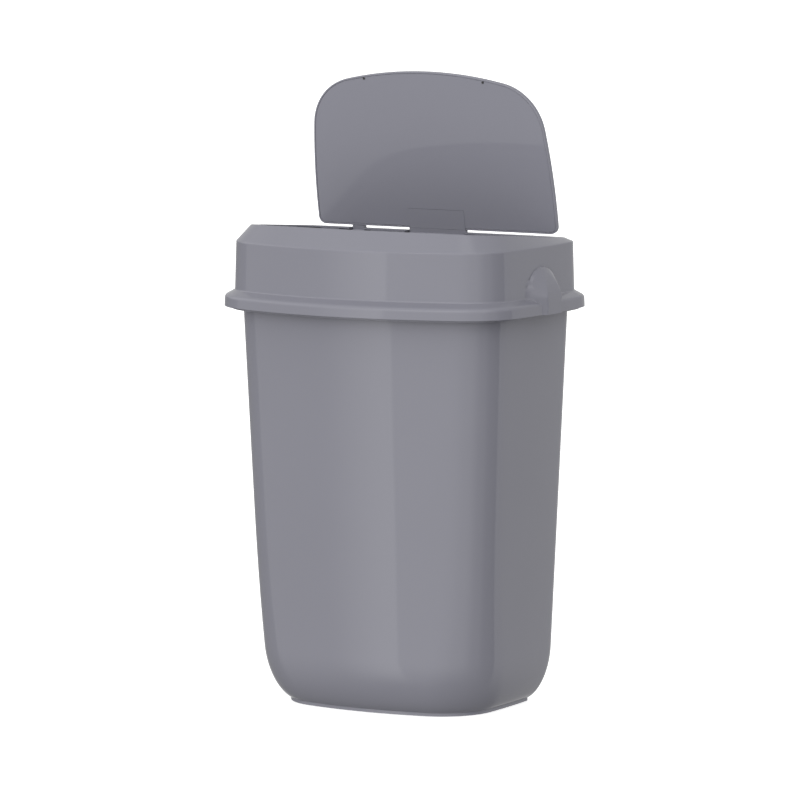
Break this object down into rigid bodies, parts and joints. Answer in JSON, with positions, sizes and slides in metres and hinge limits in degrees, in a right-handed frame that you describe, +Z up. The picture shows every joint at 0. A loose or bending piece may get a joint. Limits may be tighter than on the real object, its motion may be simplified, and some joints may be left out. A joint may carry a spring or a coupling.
{
  "type": "sensor trash can",
  "caption": "Tapered free-standing waste bin with a lift-off collar and a motor-driven flap lid on a rear hinge, shown open, with buttons, battery door and drive train.",
  "frame": {"origin": "on the floor under the middle of the rim band: centre of the overall box in plan, at the underside of the foot pads", "axes": "+Z up, -Y the bowed front where the user stands, +Y the flat rear with the hinge and battery door, +X the user's right"},
  "size_m": [0.4178, 0.3085, 0.7707],
  "materials": {
    "body_grey": "glossy",
    "collar_grey": "glossy",
    "lid_grey": "satin",
    "inner_black": "matt",
    "window_dark": "polished",
    "button_grey": "satin",
    "gear_white": "satin",
    "steel": "bright",
    "motor_can": "zinc plated",
    "cell_wrap": "printed-free sleeve, satin",
    "board_green": "solder mask",
    "switch_black": "matt",
    "led_clear": "clear",
    "lead_black": "matt",
    "pad_rubber": "matt"
  },
  "bodies": {
    "bin": {"bin_body": "body_grey", "foot_pads": "pad_rubber"},
    "collar": {"collar_shell": "collar_grey", "throat_frame": "collar_grey", "drive_housing": "inner_black", "gearbox_case": "inner_black", "gearbox_cover": "inner_black", "gearbox_screws": "steel", "drive_motor": "motor_can", "motor_screws": "steel", "gear_axles": "steel", "left_hinge_bracket": "inner_black", "left_hinge_pin": "steel", "housing_screws": "steel", "battery_tray": "inner_black", "battery_cells": "cell_wrap", "battery_contacts": "steel", "control_board": "board_green", "tact_switches": "switch_black", "switch_base": "switch_black", "sensor_board": "board_green", "sensor_window": "window_dark", "indicator_light": "led_clear", "sensor_lead": "lead_black"},
    "lid": {"lid_panel": "lid_grey", "lid_liner": "lid_grey", "lid_bumpers": "pad_rubber", "drive_arm": "lid_grey", "hinge_cover": "lid_grey", "lid_screws": "steel", "left_hinge_lug": "lid_grey", "hinge_shaft": "steel", "sector_gear": "gear_white"},
    "gear_2": {"reduction_gear_2": "gear_white"},
    "gear_1": {"reduction_gear_1": "gear_white"},
    "pinion": {"motor_pinion": "gear_white"},
    "battery_door": {"battery_door": "collar_grey"},
    "open_button": {"open_button": "button_grey"},
    "close_button": {"close_button": "button_grey"},
    "power_switch": {"switch_slider": "switch_black"}
  },
  "joints": [
    {"name": "collar_lift", "type": "slide", "parent": "bin", "child": "collar", "axis": [0, 0, 1], "range_m": [0, 0.12]},
    {"name": "lid_hinge", "type": "hinge", "parent": "collar", "child": "lid", "pos_m": [0, 0.0947, 0.5635], "axis": [1, 0, 0], "range_deg": [0, 74.37]},
    {"name": "gear_2_spin", "type": "hinge", "parent": "collar", "child": "gear_2", "pos_m": [0, 0.10435, 0.55069], "axis": [1, 0, 0], "range_deg": [-174, 0]},
    {"name": "gear_1_spin", "type": "hinge", "parent": "collar", "child": "gear_1", "pos_m": [0, 0.11121, 0.53186], "axis": [1, 0, 0], "range_deg": [0, 550]},
    {"name": "pinion_spin", "type": "hinge", "parent": "collar", "child": "pinion", "pos_m": [0, 0.10199, 0.51589], "axis": [1, 0, 0], "range_deg": [-1558, 0]},
    {"name": "battery_door_out", "type": "slide", "parent": "collar", "child": "battery_door", "axis": [0, 1, 0], "range_m": [0, 0.03]},
    {"name": "open_press", "type": "slide", "parent": "collar", "child": "open_button", "axis": [0, 0, -1], "range_m": [0, 0.0012], "stiffness_N_per_m": 400, "springref_m": -0.0005},
    {"name": "close_press", "type": "slide", "parent": "collar", "child": "close_button", "axis": [0, 0, -1], "range_m": [0, 0.0012], "stiffness_N_per_m": 400, "springref_m": -0.0005},
    {"name": "power_slide", "type": "slide", "parent": "collar", "child": "power_switch", "axis": [1, 0, 0], "range_m": [0, 0.005]}
  ],
  "couplings": [
    {"joint": "gear_2_spin", "follows": "lid_hinge", "ratio": -2.3333},
    {"joint": "gear_1_spin", "follows": "lid_hinge", "ratio": 7.3889},
    {"joint": "pinion_spin", "follows": "lid_hinge", "ratio": -20.935}
  ]
}
